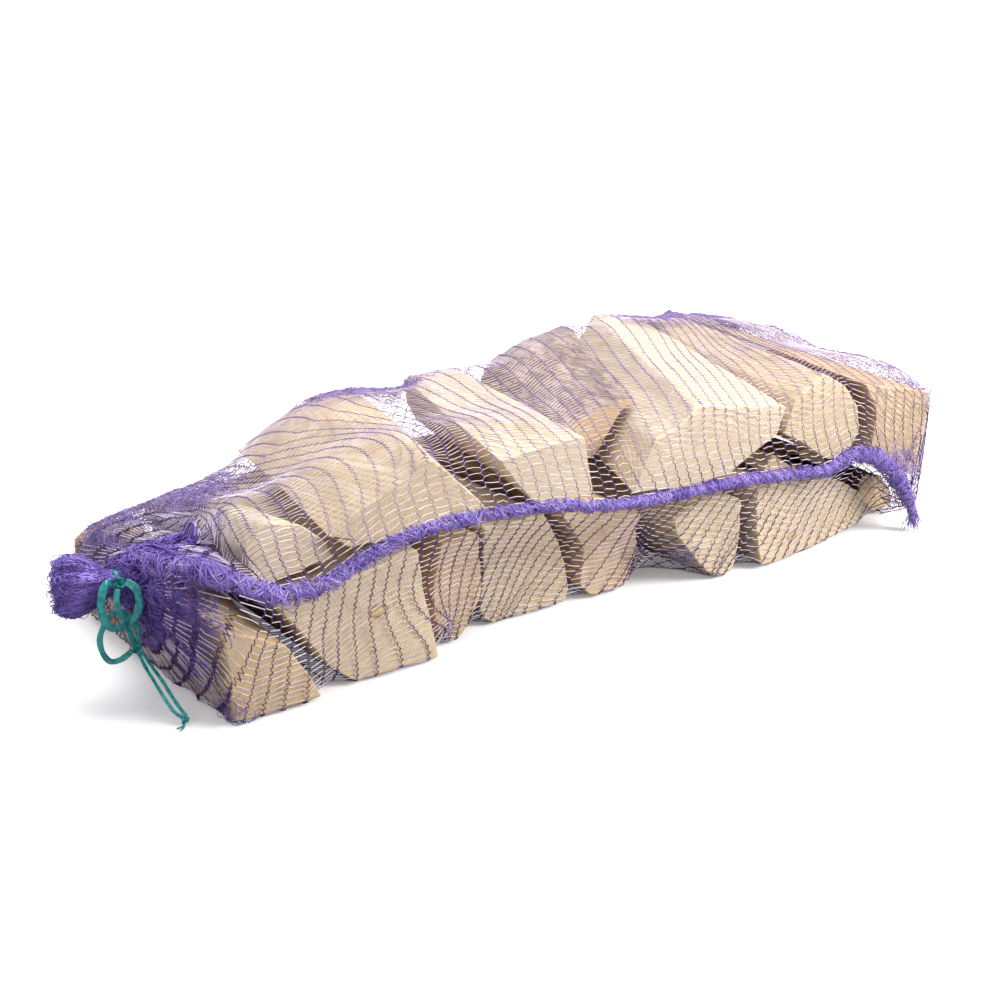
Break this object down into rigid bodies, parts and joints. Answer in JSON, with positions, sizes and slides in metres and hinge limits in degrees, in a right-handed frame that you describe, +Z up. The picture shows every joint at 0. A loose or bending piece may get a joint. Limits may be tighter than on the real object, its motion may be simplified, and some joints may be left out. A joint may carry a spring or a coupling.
{
  "type": "firewood bundle",
  "caption": "Bundle of split firewood in a purple knitted net bag, lying flat, its neck closed by a narrow teal tape tie",
  "frame": {"origin": "centre of the underside of the bundle as it lies on its long side, leaving out the loose tape of the tie", "axes": "+Z up; X along the bag, with the tied neck at -X and the closed end at +X; Y along the logs, with their sawn front ends at -Y"},
  "size_m": [0.8406, 0.3186, 0.1904],
  "materials": {
    "wood_pale": "rough split and sawn wood, cream, with fine grain and small checks",
    "wood_white": "rough split and sawn wood, nearly white sapwood",
    "wood_tan": "rough split and sawn wood, tan heartwood",
    "bark_grey": "weathered grey brown bark, matt and fissured",
    "bark_brown": "dark brown bark, matt and flaky",
    "net_purple": "knitted polyethylene net, violet, slightly glossy threads",
    "tape_teal": "thin flat tape, teal, creased and glossy"
  },
  "bodies": {
    "root": {"log_upper_1": "wood_pale", "log_upper_2": "wood_pale", "log_upper_6": "wood_pale", "log_lower_2": "wood_pale", "log_lower_4": "wood_pale", "log_lower_6": "wood_pale", "log_lower_7": "wood_pale", "log_thin_1": "wood_pale", "log_upper_3": "wood_white", "log_upper_5": "wood_white", "log_upper_7": "wood_tan", "log_lower_1": "wood_tan", "log_lower_3": "wood_tan", "log_lower_5": "wood_tan", "log_thin_2": "wood_tan", "log_upper_4": "bark_grey", "log_lower_8": "bark_brown", "net_bag": "net_purple", "net_seam": "net_purple", "tie_band": "tape_teal", "tie_knot": "tape_teal", "tie_bow": "tape_teal", "tie_strand": "tape_teal", "tie_lower_knot": "tape_teal", "tie_loop": "tape_teal", "tie_tail_left": "tape_teal", "tie_tail_right": "tape_teal", "tie_end_knot": "tape_teal"}
  },
  "joints": []
}
